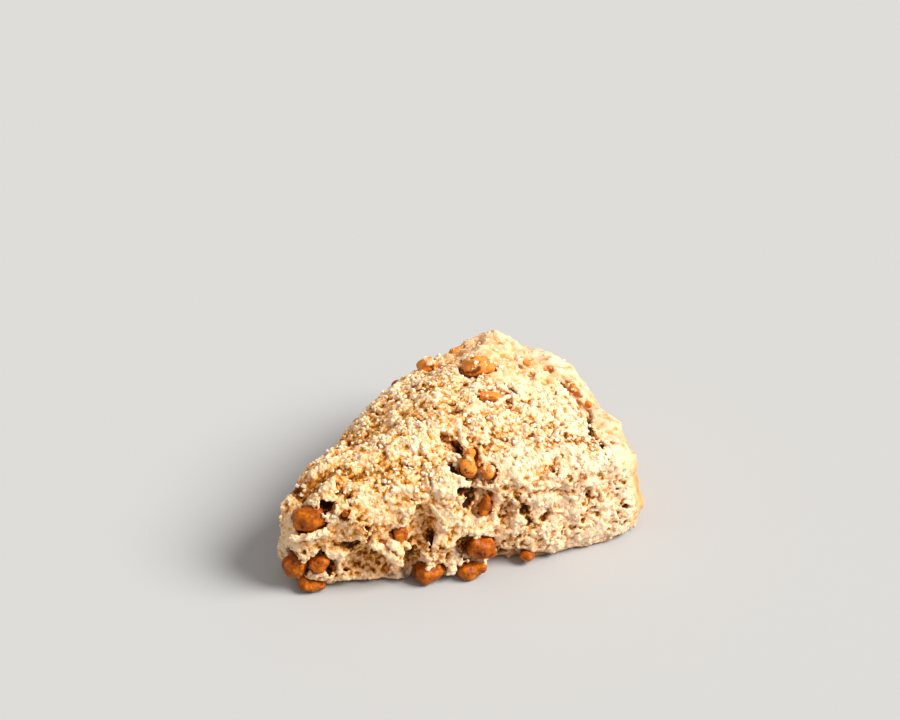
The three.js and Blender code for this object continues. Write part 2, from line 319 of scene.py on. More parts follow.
world = bpy.data.worlds.new("studio")
world.use_nodes = True
air = world.node_tree
glow = air.nodes["Background"]
glow.inputs["Color"].default_value = tint(stage["worldColour"])
glow.inputs["Strength"].default_value = stage["worldStrength"]
lightPath = addNode(air, "ShaderNodeLightPath")  # the light stays warm, the backdrop plain
backdrop = addNode(air, "ShaderNodeBackground", {"Color": tint(stage["backdropColour"])})
seen = addNode(air, "ShaderNodeMixShader", {
    0: lightPath.outputs["Is Camera Ray"], 1: glow.outputs[0], 2: backdrop.outputs[0]})
air.links.new(seen.outputs[0], air.nodes["World Output"].inputs["Surface"])
scene.world = world

keyLight = bpy.data.lights.new("key", "SUN")
keyLight.angle = math.radians(stage["keySpread"])
keyLight.energy = stage["keyStrength"]
keyLight.color = tint(stage["keyColour"])[:3]
keyItem = addItem("key", keyLight)
keyItem.location = Vector(stage["keyFrom"])
aimAt(keyItem, (0, 0, 0))
print("stage ready")

# The baked dough, in mm. Patches and pairs say where an effect starts and where it is full.
dough = {
    "voxel": 0.42,  # how finely the crumb is cut
    "leastVoxels": 8,
    "margin": 1.4,  # room round the solid for the crumb that stands proud
    "mostTriangles": 194000,
    "outside": -2.0,  # the density far from the dough
    "warpSize": 4.0, "warpReach": 2.0,
    "swaySize": 3.0, "patchSize": 8.0,
    "swellSize": 11.0, "swellHeight": 3.2,
    "lumpSize": 5.4, "lumpHeight": 3.0,
    "cobbleSize": 3.4, "cobbleHeight": 1.3,
    "granuleSize": 1.7, "granuleHeight": 1.0,
    "ridgeSize": 3.2, "ridgeHeight": 0.9, "ridgeSlope": -4.0, "ridgeCrest": 0.4,
    "ridgePatches": (0.4, 0.6),
    "fine": (1.2, 2.0, 0.6), "fineHeight": 1.9,  # size, detail and roughness
    "sunk": 0.45,
    "chipGap": 0.2, "chipSway": 1.6, "chipBlend": 0.15,
    "toothSway": 2.2, "toothGrains": -0.9, "toothThin": 0.25, "toothBlend": 0.6,
    "tearSway": 1.6, "tearFine": -0.6, "tearBlend": 0.3,
    "crackSway": 0.9, "crackBlend": 0.2,
    "undercutHeight": 3.0, "undercutPatches": (0.3, 0.65, 0.2, 1.6),
    "topFacing": (0.3, 0.75), "topHeight": (20.0, 26.0),
    "tip": (-52.0, -0.6), "lipReach": (90.0, 94.5), "lipFacing": (0.25, 0.75),
    "farAcross": (15.0, 21.0), "farBack": (-8.0, 1.0), "farSmooth": 0.7,
    "footFacing": (-0.4, -0.85), "footHeight": (2.4, 1.0),
    "calmOnSmooth": 0.7,  # how much of the relief a smooth place loses
}
# Small pores and large holes in the crumb, in mm.
poreKinds = [
    {"size": 2.6, "least": -1.0, "most": 0.7, "depth": 1.9, "cluster": 3.6, "squash": 1.25, "blend": 0.3,
     "lessOnTop": 0.55, "lessOnSmooth": 0.8, "lessOnFoot": 4.0},
    {"size": 6.5, "least": -1.9, "most": 1.7, "depth": 3.0, "cluster": 4.0, "squash": 1.3, "blend": 0.4,
     "lessOnTop": 1.4, "lessOnSmooth": 2.0, "lessOnFoot": 4.0},
]
# Courses of extra dough and of torn-out dough: x, y, z and radius along each, in mm.
teeth = [
    # the ledge's tooth
    [(-34, -16.2, 14.6, 1.6), (-30.4, -18, 12, 2.2), (-27.8, -19.2, 9, 1.9), (-26.2, -19.4, 6.2, 1.0)],
    [(-28.6, -18.4, 14.6, 2.2), (-26.8, -19.4, 11, 1.6)],
    [(-20.4, -22.6, 17, 0.7), (-20.2, -23, 13.6, 0.9), (-20.6, -22.6, 9, 0.7)],
    # over the low left chip
    [(-22.6, -24.4, 6.2, 0.9), (-20.5, -26, 4.6, 1.3), (-18.5, -26.4, 4.2, 0.9)],
    # over the chips at the tip's foot
    [(-49.4, -9.6, 4.6, 0.9), (-46.4, -11.2, 4.4, 1.5), (-44.6, -11.6, 4.6, 1.0)],
    # the lip under the upper chip
    [(-44.8, -9.6, 19.8, 1.4), (-49.2, -8.2, 18.6, 1.5), (-51.8, -5, 18.4, 1.4)],
    # sugared dough over the low top chip
    [(10.5, -8.6, 38.2, 1.3), (14, -8.4, 38.2, 1.5), (16.8, -7.4, 38.4, 1.0)],
    [(20.5, 5.6, 39.6, 1.2), (22.6, 7, 39.4, 1.0)],
    [(31.4, -1.4, 36.4, 1.0), (33.4, 0.2, 36, 1.0)],
    [(13.4, 24.4, 34.6, 1.1), (16.6, 25.4, 34.2, 1.0)],
    [(-3.8, -24, 33.2, 0.9), (-4.6, -23.2, 33.9, 0.7)],  # between the ridge chips
    [(40.8, -35, 1.6, 1.6), (41.4, -34, 6, 1.2)],  # the base's corner
]
tears = [
    [(-25, -19.3, 26.3, 0.5), (-22.4, -21, 25.6, 1.0), (-19.4, -22.6, 23.5, 0.8)],  # over the arch
    [(-19.4, -20, 18.2, 0.7)],
    # under the ledge
    [(-42.4, -13.4, 6, 1.8), (-38, -16.6, 6.4, 3.2), (-33, -19.4, 6.2, 3.8), (-29.4, -20.4, 5, 3.0)],
    [(-42.6, -12.4, 15.6, 1.6), (-38.6, -14.8, 13.4, 3.2), (-34.4, -17, 10.4, 3.4),
     (-31.4, -18.6, 7.4, 2.6)],
    [(-55.4, -3.6, 13.2, 2.6), (-56, -2, 8, 4.8), (-55, -2, 2.4, 5.4)],  # the tip's foot
    [(-53.6, 4.6, 11.6, 2.6), (-53.4, 3.6, 8, 3.6), (-53, 3.4, 4, 3.8), (-52.6, 3.2, 0, 4.4)],
    [(-51.4, -9.6, 1.6, 2.4), (-47.4, -11.4, 0.6, 1.4)],
    [(-5.2, -11.2, 36, 0.7), (-4.6, -14, 34.6, 1.1), (-4.9, -17.7, 33.8, 0.9)],  # the crack up the top
    # beside the ridge chip
    [(-9.4, -18.7, 32.6, 1.4), (-9.8, -20.8, 31.8, 1.6), (-8.6, -22.4, 31, 1.0)],
    [(-3.2, -20.6, 33.6, 0.9), (-2.8, -22.2, 33.2, 0.6)],
    # the hole with sugar in it
    [(-10.6, -24.4, 28, 1.5), (-7.4, -25.2, 26.6, 1.7), (-8.8, -25.6, 23.8, 2.0)],
    # behind the upper tip chip
    [(-42, -6.4, 25.6, 1.2), (-43.4, -5, 25.2, 1.4), (-45, -4.4, 25.6, 0.8)],
    [(-43.6, -8.4, 7.2, 1.1), (-43.9, -9.4, 5.4, 0.9)],
    [(-51, -7.6, 12, 0.7), (-47, -8.6, 12, 0.7)],
    [(-24.4, -19.8, 9.6, 1.7), (-24, -20, 6, 2.1), (-23.6, -20.6, 1.6, 2.0)],  # the low gap
    [(-12.2, -26, 12, 1.6), (-11.2, -25.8, 9.6, 1.7)],  # left of the low middle chip
    [(-3, -27.2, 4, 1.8), (0.4, -28, 1.6, 3.0), (4.4, -28.8, 0.8, 2.6), (7.6, -30, 0.6, 1.8)],
    [(9.2, -31, 2, 1.1), (12, -31.8, 1.2, 1.0)],
    # the crack of the rim's lip
    [(33.4, -25, 29, 1.2), (34.8, -25.8, 28.2, 0.9), (33.2, -30.4, 28.4, 0.6)],
    [(39.2, -14.2, 30, 0.6), (37.4, -17.4, 30, 0.6), (36.2, -19.2, 30, 0.7)],
    [(15.6, 14, 39.2, 0.5), (14.4, 8, 39.6, 0.8), (14.8, 4, 39.8, 0.6)],
    # the cavity in the front face
    [(3.6, -31.4, 23.4, 0.9), (5.2, -32, 19, 1.5), (7, -32.2, 14.6, 0.9)],
    [(22, -36.4, 25.4, 0.7)],
    [(34.1, -38.6, 13.2, 0.7)],
    [(-18.6, -21.4, 15.4, 0.9), (-19.2, -22.6, 12, 0.7)],
]
# Narrow upright cracks in the top, given in the same way.
cracks = [
    [(39.4, -0.6, 32, 0.3), (42.4, -4.3, 29.8, 0.5), (42.1, -11.2, 29, 0.4), (39, -15, 29.3, 0.4),
     (36.8, -18.8, 29.6, 0.5)],
    [(36.8, -18.8, 29.6, 0.5), (33.3, -24.5, 29.9, 0.8), (30, -30.3, 31, 0.45),
     (30.6, -33.7, 30.4, 0.4), (31, -36, 28, 0.3)],
    [(19.4, 1, 39.7, 0.3), (20.1, -2.1, 39.5, 0.55), (20.5, -6.3, 38.6, 0.5), (21.4, -8.6, 37.8, 0.3)],
    [(-5.2, -10.6, 36.4, 0.3), (-4.2, -13.4, 35, 0.55), (-4.9, -17.7, 34.4, 0.4)],
]
crackRise = 0.3  # how far a crack's height is squeezed, so that it runs deep
# Places where a chip's cinnamon has melted into the dough.
stains = [
    [(-21, -19, 29.5, 1.0)],
    [(-37.5, -15, 20.5, 1.2)],
    [(-43.6, 3.6, 26.4, 2.8), (-42, 1.5, 28.4, 1.6)],
    [(40, -35.5, 14, 1.4)],
    [(-31, -17.8, 22, 1.0)],
    [(43, -1.6, 31, 0.8), (42.4, -6.6, 30, 1.2), (40, -13, 30, 1.0), (37, -18.6, 30, 0.9),
     (34.6, -25.4, 29, 1.0)],
    [(41.4, -32, 20, 1.1), (43, -33, 14, 0.9)],
    [(34.8, 20.3, 35, 0.9)],
    [(37.4, 10.4, 34.1, 1.0)],
    [(31.6, -11.4, 33, 0.7)],
    [(32.1, -18.1, 31.8, 0.6)],
    [(21.7, -36, 25.7, 1.5)],
    [(-23.8, -19.2, 27.6, 0.8)],
]
# Places where the dough is painted dark beside a chip: scorched dough, and painted shade in the gaps and
# under the overhangs there.
scorchesAndShade = [
    [(0.4, -28, 2.4, 2.6), (4.4, -29, 1.8, 2.4), (8.8, -31, 1.4, 1.8), (14, -32.8, 1, 1.3)],
    [(-23.6, -19, 8.4, 2.0), (-25, -19.6, 5.4, 2.4), (-24.6, -20.4, 2.2, 2.2)],
    [(-12.7, -26.8, 12, 2.0), (-11.8, -26.8, 9.4, 1.8)],
    [(-30, -17, 6, 1.5), (-29, -17.4, 3, 1.7)],
    [(-44.8, 4.4, 25, 1.6)],
    [(-48.6, -6.2, 12.6, 1.0), (-51, -4.6, 12, 1.0)],
]
courseStep = 0.7  # mm between the points that a course is made of


# Points along each course, each with its radius; rise squeezes their height.
def courseMesh(courses, label, rise=1.0):
    shape = bmesh.new()
    width = shape.verts.layers.float.new("radius")
    for course in courses:
        ends = [(Vector(stop[:3]), stop[3]) for stop in course]
        for (here, hereRadius), (there, thereRadius) in zip(ends, ends[1:] or ends):
            steps = max(1, round((there - here).length / courseStep))
            for step in range(steps + 1):
                share = step / steps
                vert = shape.verts.new(here.lerp(there, share) * mm)
                vert[width] = hereRadius + (thereRadius - hereRadius) * share
    bmesh.ops.scale(shape, vec=(1, 1, rise), verts=shape.verts)
    return meshFrom(shape, label)


# The distance in mm to the nearest point's ball, less than 0 inside it.
def courseGap(tree, item, position, rise=1.0):
    source = geometryOf(tree, item)
    at = vectors(tree, "MULTIPLY", position, (1.0, 1.0, rise))
    feeds = {0: source, "Sample Position": at}
    near = addNode(tree, "GeometryNodeProximity", feeds, target_element="POINTS").outputs["Distance"]
    feeds = {"Geometry": source, "Sample Position": at}
    index = addNode(tree, "GeometryNodeSampleNearest", feeds).outputs[0]
    feeds = {"Geometry": source, "Value": named(tree, "radius"), "Index": index}
    radius = addNode(tree, "GeometryNodeSampleIndex", feeds).outputs[0]
    return maths(tree, "SUBTRACT", product(tree, near, 1 / mm), radius)


# How far a place belongs to the top, the smooth rim, the torn sides and the foot, from 0 to 1.
def regions(tree, place, facing):
    x, y, z = parted(tree, place)
    faceX, faceY, faceZ = parted(tree, facing)
    top = product(tree, ramp(tree, faceZ, *dough["topFacing"]), ramp(tree, z, *dough["topHeight"]))
    awayX = maths(tree, "SUBTRACT", x, dough["tip"][0])
    awayY = maths(tree, "SUBTRACT", y, dough["tip"][1])
    squares = total(tree, maths(tree, "POWER", awayX, 2.0), maths(tree, "POWER", awayY, 2.0))
    fromTip = maths(tree, "SQRT", squares)
    outwards = total(tree, product(tree, awayX, faceX), product(tree, awayY, faceY))
    outwards = maths(tree, "DIVIDE", outwards, fromTip)
    rimFacing = maths(tree, "MAXIMUM", top, ramp(tree, outwards, *dough["lipFacing"]))
    lip = product(tree, ramp(tree, fromTip, *dough["lipReach"]), rimFacing)
    far = product(tree, ramp(tree, x, *dough["farAcross"]), ramp(tree, y, *dough["farBack"]), top)
    smooth = maths(tree, "MAXIMUM", lip, product(tree, far, dough["farSmooth"]))
    torn = product(tree, remainder(tree, top), remainder(tree, lip))
    foot = product(tree, ramp(tree, faceZ, *dough["footFacing"]), ramp(tree, z, *dough["footHeight"]))
    return {"top": top, "smooth": smooth, "torn": torn, "foot": foot, "height": z}


def cutPores(tree, body, place, patch, area, kind):
    stretched = vectors(tree, "MULTIPLY", place, (1.0, 1.0, kind["squash"]))
    cells = cellField(tree, stretched, kind["size"])
    chance = parted(tree, cells.outputs["Color"])[0]
    width = maths(tree, "MULTIPLY_ADD", chance, kind["most"] - kind["least"], kind["least"])
    width = maths(tree, "SUBTRACT", width, product(tree, cells.outputs["Distance"], kind["size"]))
    width = total(tree, width, centred(tree, patch, kind["cluster"]))
    for name, less in (("top", "lessOnTop"), ("smooth", "lessOnSmooth"), ("foot", "lessOnFoot")):
        width = maths(tree, "SUBTRACT", width, product(tree, area[name], kind[less]))
    cut = maths(tree, "MINIMUM", width, total(tree, body, kind["depth"]))
    return maths(tree, "SMOOTH_MAX", body, cut, kind["blend"])


def cutAway(tree, body, gap, blend):
    return maths(tree, "SMOOTH_MAX", body, product(tree, gap, -1.0), blend)


# Crumb that isn't joined to the body would float, so only the largest island stays.
def largestIsland(tree, geometry):
    island = addNode(tree, "GeometryNodeInputMeshIsland").outputs[0]
    count = addNode(tree, "GeometryNodeAccumulateField", {"Group ID": island, 0: 1.0}).outputs["Total"]
    found = addNode(tree, "GeometryNodeAttributeStatistic", {"Geometry": geometry, 2: count})
    most = maths(tree, "SUBTRACT", found.outputs["Max"], 0.5)
    loose = maths(tree, "LESS_THAN", count, most)
    kept = addNode(tree, "GeometryNodeDeleteGeometry", {"Geometry": geometry, "Selection": loose})
    return kept.outputs[0]


# Cuts the crumb: body is the distance in mm to its surface, less than 0 in the dough.
def crumbTree(sourceMesh, helpers):
    tree, inlet, outlet = shapeTree("torn crumb")
    position = positionOf(tree)
    place = scaled(tree, position, 1 / mm)
    feeds = {"Mesh": inlet, "Value": normalOf(tree)}
    nearest = addNode(tree, "GeometryNodeSampleNearestSurface", feeds, data_type="FLOAT_VECTOR")
    area = regions(tree, place, nearest.outputs["Value"])

    sway = noiseField(tree, place, dough["swaySize"])
    patch = noiseField(tree, place, dough["patchSize"])
    reach = (dough["warpReach"] * 2,) * 3
    warped = vectors(tree, "MULTIPLY_ADD", drift(tree, place, dough["warpSize"]), reach, place)
    warped = turned(tree, warped)
    swelling = centred(tree, noiseField(tree, place, dough["swellSize"]), dough["swellHeight"])
    lump = centred(tree, noiseField(tree, warped, dough["lumpSize"]), dough["lumpHeight"])
    cobble = bump(tree, warped, dough["cobbleSize"], dough["cobbleHeight"])
    granule = bump(tree, warped, dough["granuleSize"], dough["granuleHeight"])
    fold = noiseField(tree, place, dough["ridgeSize"], 2.0)
    fold = maths(tree, "ABSOLUTE", maths(tree, "SUBTRACT", fold, 0.5))
    slope, crest = [dough[part] * dough["ridgeHeight"] for part in ("ridgeSlope", "ridgeCrest")]
    ridge = maths(tree, "MULTIPLY_ADD", fold, slope, crest)
    fine = centred(tree, noiseField(tree, place, *dough["fine"]), dough["fineHeight"])

    rough = remainder(tree, product(tree, area["smooth"], dough["calmOnSmooth"]))
    cobbled = product(tree, cobble, area["top"], rough)
    folded = product(tree, ridge, area["torn"], ramp(tree, patch, *dough["ridgePatches"]))
    grains = product(tree, total(tree, granule, fine), rough)
    raised = total(tree, swelling, lump, cobbled, folded, grains, -dough["sunk"])
    raised = product(tree, raised, remainder(tree, area["foot"]))
    body = maths(tree, "SUBTRACT", signedGap(tree, inlet, position), raised)
    for kind in poreKinds:
        body = cutPores(tree, body, warped, patch, area, kind)

    tooth = total(tree, courseGap(tree, helpers["tooth"], position),
                  centred(tree, sway, dough["toothSway"]),
                  product(tree, grains, dough["toothGrains"]), dough["toothThin"])
    body = maths(tree, "SMOOTH_MIN", body, tooth, dough["toothBlend"])
    tear = total(tree, courseGap(tree, helpers["tear"], position),
                 centred(tree, sway, dough["tearSway"]), product(tree, fine, dough["tearFine"]))
    body = cutAway(tree, body, tear, dough["tearBlend"])
    crack = total(tree, courseGap(tree, helpers["crack"], position, crackRise),
                  centred(tree, sway, dough["crackSway"]))
    body = cutAway(tree, body, crack, dough["crackBlend"])
    room = total(tree, centred(tree, sway, dough["chipSway"]), dough["chipGap"])
    room = maths(tree, "SUBTRACT", room, signedGap(tree, geometryOf(tree, helpers["chip"]), position))
    body = maths(tree, "SMOOTH_MAX", body, room, dough["chipBlend"])
    undercut = ramp(tree, patch, *dough["undercutPatches"])
    undercut = product(tree, ramp(tree, area["height"], dough["undercutHeight"], 0.0), undercut)
    body = total(tree, body, undercut)
    body = maths(tree, "MAXIMUM", body, product(tree, area["height"], -1.0))

    low, high = meshBox(sourceMesh, dough["margin"] * mm)
    low.z = -1.0 * mm
    counts = [int((high[i] - low[i]) / (dough["voxel"] * mm)) for i in range(3)]
    voxels = [max(dough["leastVoxels"], count) for count in counts]
    cube = addNode(tree, "GeometryNodeVolumeCube", {
        "Density": product(tree, body, -1.0), "Background": dough["outside"], "Min": low, "Max": high,
        "Resolution X": voxels[0], "Resolution Y": voxels[1], "Resolution Z": voxels[2]})
    skin = addNode(tree, "GeometryNodeVolumeToMesh", {"Volume": cube.outputs[0], "Threshold": 0.0})
    tree.links.new(largestIsland(tree, skin.outputs[0]), outlet)
    return tree


# The marks on the cut crumb that its finish reads; its crevice and hollow depths paint shade into the
# dough's colour.
marks = {
    "crevice": (6, 3, 0.3),  # blurs of the place and of its facing, and the depth in mm that counts as 1
    "hollow": (60, 10, 1.1),
    "facingBlur": 40,
    "bleed": (1.5, 0.1),  # the distances in mm where a mark starts and where it is full
    "stain": (0.6, -0.6),
    "scorch": (0.5, -0.8),
    "tear": (1.2, 0.2),
    "crack": (0.7, 0.1),
}


def markTree(helpers):
    tree, inlet, outlet = shapeTree("crumb marks")
    position = positionOf(tree)
    normal = normalOf(tree)
    marked = inlet
    for name in ("crevice", "hollow"):
        placeBlur, facingBlur, full = marks[name]
        toSmooth = vectors(tree, "SUBTRACT", blurred(tree, position, placeBlur), position)
        depth = dotted(tree, toSmooth, blurred(tree, normal, facingBlur))
        marked = stored(tree, marked, name, product(tree, depth, 1 / (mm * full)))
    place = scaled(tree, position, 1 / mm)
    area = regions(tree, place, blurred(tree, normal, marks["facingBlur"]))
    chipGap = product(tree, surfaceGap(tree, geometryOf(tree, helpers["chip"])), 1 / mm)
    inTear = ramp(tree, courseGap(tree, helpers["tear"], position), *marks["tear"])
    inCrack = ramp(tree, courseGap(tree, helpers["crack"], position, crackRise), *marks["crack"])
    shares = {
        "dough": 1.0,
        "top": area["top"], "smooth": area["smooth"], "foot": area["foot"],
        "bleed": ramp(tree, chipGap, *marks["bleed"]),
        "stain": ramp(tree, courseGap(tree, helpers["stain"], position), *marks["stain"]),
        "scorch": ramp(tree, courseGap(tree, helpers["scorch"], position), *marks["scorch"]),
        "pit": maths(tree, "MAXIMUM", inTear, inCrack),
    }
    for name, share in shares.items():
        marked = stored(tree, marked, name + "Share", share)
    tree.links.new(marked, outlet)
    return tree


sunkenChips = ["chip_rim_crack", "chip_rim_crack_end", "chip_rim_corner", "chip_rim_lip", "chip_top_low",
               "chip_top_far", "chip_top_far_low", "chip_top_rim", "chip_back_high"]
chipNames = [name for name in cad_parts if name.startswith("chip_")]
openChips = [name for name in chipNames if name not in sunkenChips]
courses = {"tooth": teeth, "tear": tears, "crack": cracks, "stain": stains, "scorch": scorchesAndShade}
doughMesh = mergedCopy(["scone_body"], "dough_body")
doughItem = addItem("dough_body", doughMesh)
helpers = {"chip": helper("chip room", mergedCopy(openChips, "chip room"))}
for name, rows in courses.items():
    rise = crackRise if name == "crack" else 1.0
    helpers[name] = helper(name + " courses", courseMesh(rows, name + " courses", rise))

grown(doughItem, "torn crumb", crumbTree(doughMesh, helpers))
triangles = sum(len(face.vertices) - 2 for face in doughItem.data.polygons)
print("crumb cut,", triangles, "triangles")
if triangles > dough["mostTriangles"]:
    doughItem.modifiers.new("thin", "DECIMATE").ratio = dough["mostTriangles"] / triangles
    shaped(doughItem)
grown(doughItem, "marks", markTree(helpers))
smoothShaded(doughItem)
for item in helpers.values():
    bpy.data.objects.remove(item)
print("crumb marked,", len(doughItem.data.polygons), "faces")

# The dough's finish. A speckle is a size in mm, a detail and a roughness. Patches say where a speckle
# starts and is full, then the share of colour there. The shades add up to a place along the stops.
bakedDough = {
    "roughness": 0.75, "specular": 0.15,
    "broad": (8.0, 2.0, 0.5), "mottle": (2.6, 3.0, 0.55),
    "speck": (0.5, 2.0, 0.6), "toast": (2.4, 2.0, 0.5),
    "swirlSize": 1.25, "swirlReach": 1.6, "gritSize": 1.1, "gritEdge": (0.25, 0.8),
    "calmOnSmooth": 0.6,
    "shade": 0.31, "broadShade": 0.7, "mottleShade": 0.6, "speckShade": 0.34, "gritShade": 0.26,
    "creviceShade": 0.13, "hollowShade": 0.26, "pitShade": (-0.5, 0.4, 0.0, 0.48),
    "topShade": (30.0, -30.0, 0.04, 0.1),  # painted shade on the top, darker from the rim to the tip, in mm
    "rimwardTurn": -0.35,
    "stops": [(0.12, "peak"), (0.33, "cream"), (0.48, "honey"), (0.63, "amber"), (0.85, "brown")],
    # Painted light: the side towards the rim, where the key light falls, is painted paler on the light
    # tones.
    "paintedLightAcross": (-25.0, 50.0, 0.0, 0.5), "paintedLightOnPale": (0.6, 0.3),
    "crustPatches": (0.35, 0.65, 0.35, 0.85), "toastPatches": (0.48, 0.68, 0.0, 0.8),
    "rimShare": (0.72, 1.0), "lipHeight": (20.0, 29.0), "lipMost": 0.7,
    "sidePatches": (0.7, 1.25, 0.95, 0.25),
    "footHeight": (2.6, 0.4), "footPatches": (0.35, 0.6, 0.35, 1.0),
    "bleedPatches": (0.4, 0.62, 0.0, 0.6), "stainPatches": (0.3, 0.6, 0.3, 0.9),
    "scorchAndShadePatches": (0.3, 0.55, 0.55, 0.95),
    "speckRelief": 0.8, "gritRelief": -0.5, "mottleRelief": 0.4, "bump": 0.7, "bumpDepth": 0.45,
    "soak": 0.35, "soakRadius": (1.0, 0.8, 0.5), "soakDepth": 0.7,  # how light goes into the surface
}
doughTints = {
    "peak": "#fbdab6",
    "cream": "#f0ba7e",
    "honey": "#cc8b35",
    "amber": "#8f5410",
    "brown": "#301203",
    "crust": "#dba468",
    "foot": "#bd7c34",
    "cinnamon": "#bd6a16",
    # painted light, the paler colour on the rim's side
    "paintedLight": "#fbe3cb",
    "lip": "#f4cdb6",
    "side": "#bd7f3c",
    "scorch": "#4a2107",
}


# The speckle that every finish on the scone has, each at its own size.
def speckleGroup():
    group = bpy.data.node_groups.new("speckle", "ShaderNodeTree")
    group.interface.new_socket("Place", in_out="INPUT", socket_type="NodeSocketVector")
    for name in ("Size", "Detail", "Roughness"):
        group.interface.new_socket(name, in_out="INPUT", socket_type="NodeSocketFloat")
    group.interface.new_socket("Speckle", in_out="OUTPUT", socket_type="NodeSocketFloat")
    inlets = group.nodes.new("NodeGroupInput").outputs
    noise = addNode(group, "ShaderNodeTexNoise", {
        "Vector": inlets["Place"], "Scale": maths(group, "DIVIDE", 1.0, inlets["Size"]),
        "Detail": inlets["Detail"], "Roughness": inlets["Roughness"]})
    group.links.new(noise.outputs[0], group.nodes.new("NodeGroupOutput").inputs[0])
    return group


speckle = speckleGroup()


def speckled(tree, place, size, detail, rough):
    feeds = {"Place": place, "Size": size, "Detail": detail, "Roughness": rough}
    return addNode(tree, "ShaderNodeGroup", feeds, node_tree=speckle).outputs[0]


def objectPlace(tree):
    return scaled(tree, addNode(tree, "ShaderNodeTexCoord").outputs["Object"], 1 / mm)


def mixed(tree, share, one, other):
    return addNode(tree, "ShaderNodeMix", {0: share, 6: one, 7: other}, data_type="RGBA").outputs[2]


def attribute(tree, name):
    return addNode(tree, "ShaderNodeAttribute", attribute_name=name).outputs["Fac"]


def shadeRamp(tree, value, stops):
    made = addNode(tree, "ShaderNodeValToRGB", {0: value})
    points = made.color_ramp.elements
    while len(points) < len(stops):
        points.new(0.5)
    for point, (place, name) in zip(points, stops):
        point.position = place
        point.color = tint(doughTints[name])
    return made.outputs[0]


def bumped(tree, shader, height, look):
    feeds = {"Height": height, "Strength": look["bump"], "Distance": look["bumpDepth"] * mm}
    tree.links.new(addNode(tree, "ShaderNodeBump", feeds).outputs[0], shader.inputs["Normal"])


def soaked(shader, look):
    shader.inputs["Subsurface Weight"].default_value = look["soak"]
    shader.inputs["Subsurface Radius"].default_value = look["soakRadius"]
    shader.inputs["Subsurface Scale"].default_value = look["soakDepth"] * mm
    shader.inputs["Specular IOR Level"].default_value = look["specular"]


def doughMaterial(look):
    material, shader = plainMaterial("baked dough", doughTints["cream"], look["roughness"])
    tree = material.node_tree
    place = objectPlace(tree)
    x, y, z = parted(tree, place)
    rimward = maths(tree, "MULTIPLY_ADD", y, look["rimwardTurn"], x)
    broad = speckled(tree, place, *look["broad"])
    mottle = speckled(tree, place, *look["mottle"])
    speck = speckled(tree, place, *look["speck"])
    toast = speckled(tree, place, *look["toast"])
    swirl = noiseNode(tree, place, look["swirlSize"], 1.0).outputs["Color"]
    bent = turned(tree, vectors(tree, "MULTIPLY_ADD", swirl, (look["swirlReach"],) * 3, place))
    grit = ramp(tree, cellField(tree, bent, look["gritSize"]).outputs["Distance"], *look["gritEdge"])
    smooth = attribute(tree, "smoothShare")
    hollow = attribute(tree, "hollow")
    nearChip = attribute(tree, "bleedShare")
    uneven = maths(tree, "MULTIPLY_ADD", smooth, -look["calmOnSmooth"], 1.0)

    # Painted shade in the tears, cracks and gaps round the chips, darker where they are hollow; partly
    # the real brown of caramelised cinnamon.
    pit = maths(tree, "MAXIMUM", attribute(tree, "pitShare"), nearChip)
    pit = product(tree, pit, ramp(tree, hollow, *look["pitShade"]))
    # Painted shade: the top is painted darker towards the tip, the side away from the light.
    tipwardShade = product(tree, attribute(tree, "topShare"), ramp(tree, rimward, *look["topShade"]))
    # Painted shade: crevices, hollows and pits push the colour down the stops towards amber and brown,
    # and raised crumb towards the palest stop; the speckles add random tone.
    shade = total(tree, pit, product(tree, attribute(tree, "crevice"), look["creviceShade"]),
                  product(tree, hollow, look["hollowShade"]),
                  centred(tree, mottle, look["mottleShade"]), centred(tree, speck, look["speckShade"]),
                  centred(tree, broad, look["broadShade"]),
                  centred(tree, product(tree, grit, uneven), look["gritShade"]), tipwardShade, look["shade"])
    base = shadeRamp(tree, shade, look["stops"])

    rim = ramp(tree, smooth, *look["rimShare"])
    lipHigh = ramp(tree, z, *look["lipHeight"])
    # The baked bottom's brown, and painted shade on the sides where they meet the floor, up to 2.6 mm
    # high.
    footBrownAndShade = maths(tree, "MAXIMUM", attribute(tree, "footShare"), ramp(tree, z, *look["footHeight"]))
    blotch = total(tree, mottle, broad)
    bleed = product(tree, nearChip, ramp(tree, mottle, *look["bleedPatches"]))
    stain = product(tree, attribute(tree, "stainShare"), ramp(tree, speck, *look["stainPatches"]))
    # Painted light: paler towards the rim, the side the key light comes from.
    paintedSideLight = product(tree, ramp(tree, rimward, *look["paintedLightAcross"]), ramp(tree, shade, *look["paintedLightOnPale"]))
    # Partly scorched dough, partly painted shade in the gaps by the chips and near the floor.
    scorch = product(tree, attribute(tree, "scorchShare"), ramp(tree, mottle, *look["scorchAndShadePatches"]))
    layers = [
        ("paintedLight", paintedSideLight),
        ("crust", product(tree, smooth, ramp(tree, broad, *look["crustPatches"]))),
        ("lip", product(tree, rim, lipHigh, look["lipMost"])),
        ("honey", product(tree, smooth, ramp(tree, toast, *look["toastPatches"]))),
        ("side", product(tree, rim, remainder(tree, lipHigh), ramp(tree, blotch, *look["sidePatches"]))),
        ("foot", product(tree, footBrownAndShade, ramp(tree, mottle, *look["footPatches"]))),
        ("cinnamon", maths(tree, "MAXIMUM", bleed, stain)),
        ("scorch", scorch),
    ]
    for name, share in layers:
        base = mixed(tree, share, base, tint(doughTints[name]))
    tree.links.new(base, shader.inputs["Base Color"])
    height = total(tree, product(tree, speck, look["speckRelief"]),
                   product(tree, grit, look["gritRelief"]), product(tree, mottle, look["mottleRelief"]))
    bumped(tree, shader, product(tree, height, uneven), look)
    soaked(shader, look)
    return material


doughFinish = doughMaterial(bakedDough)
finished(doughItem, doughFinish)
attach(doughItem, "root")
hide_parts("scone_body")
print("dough finished")

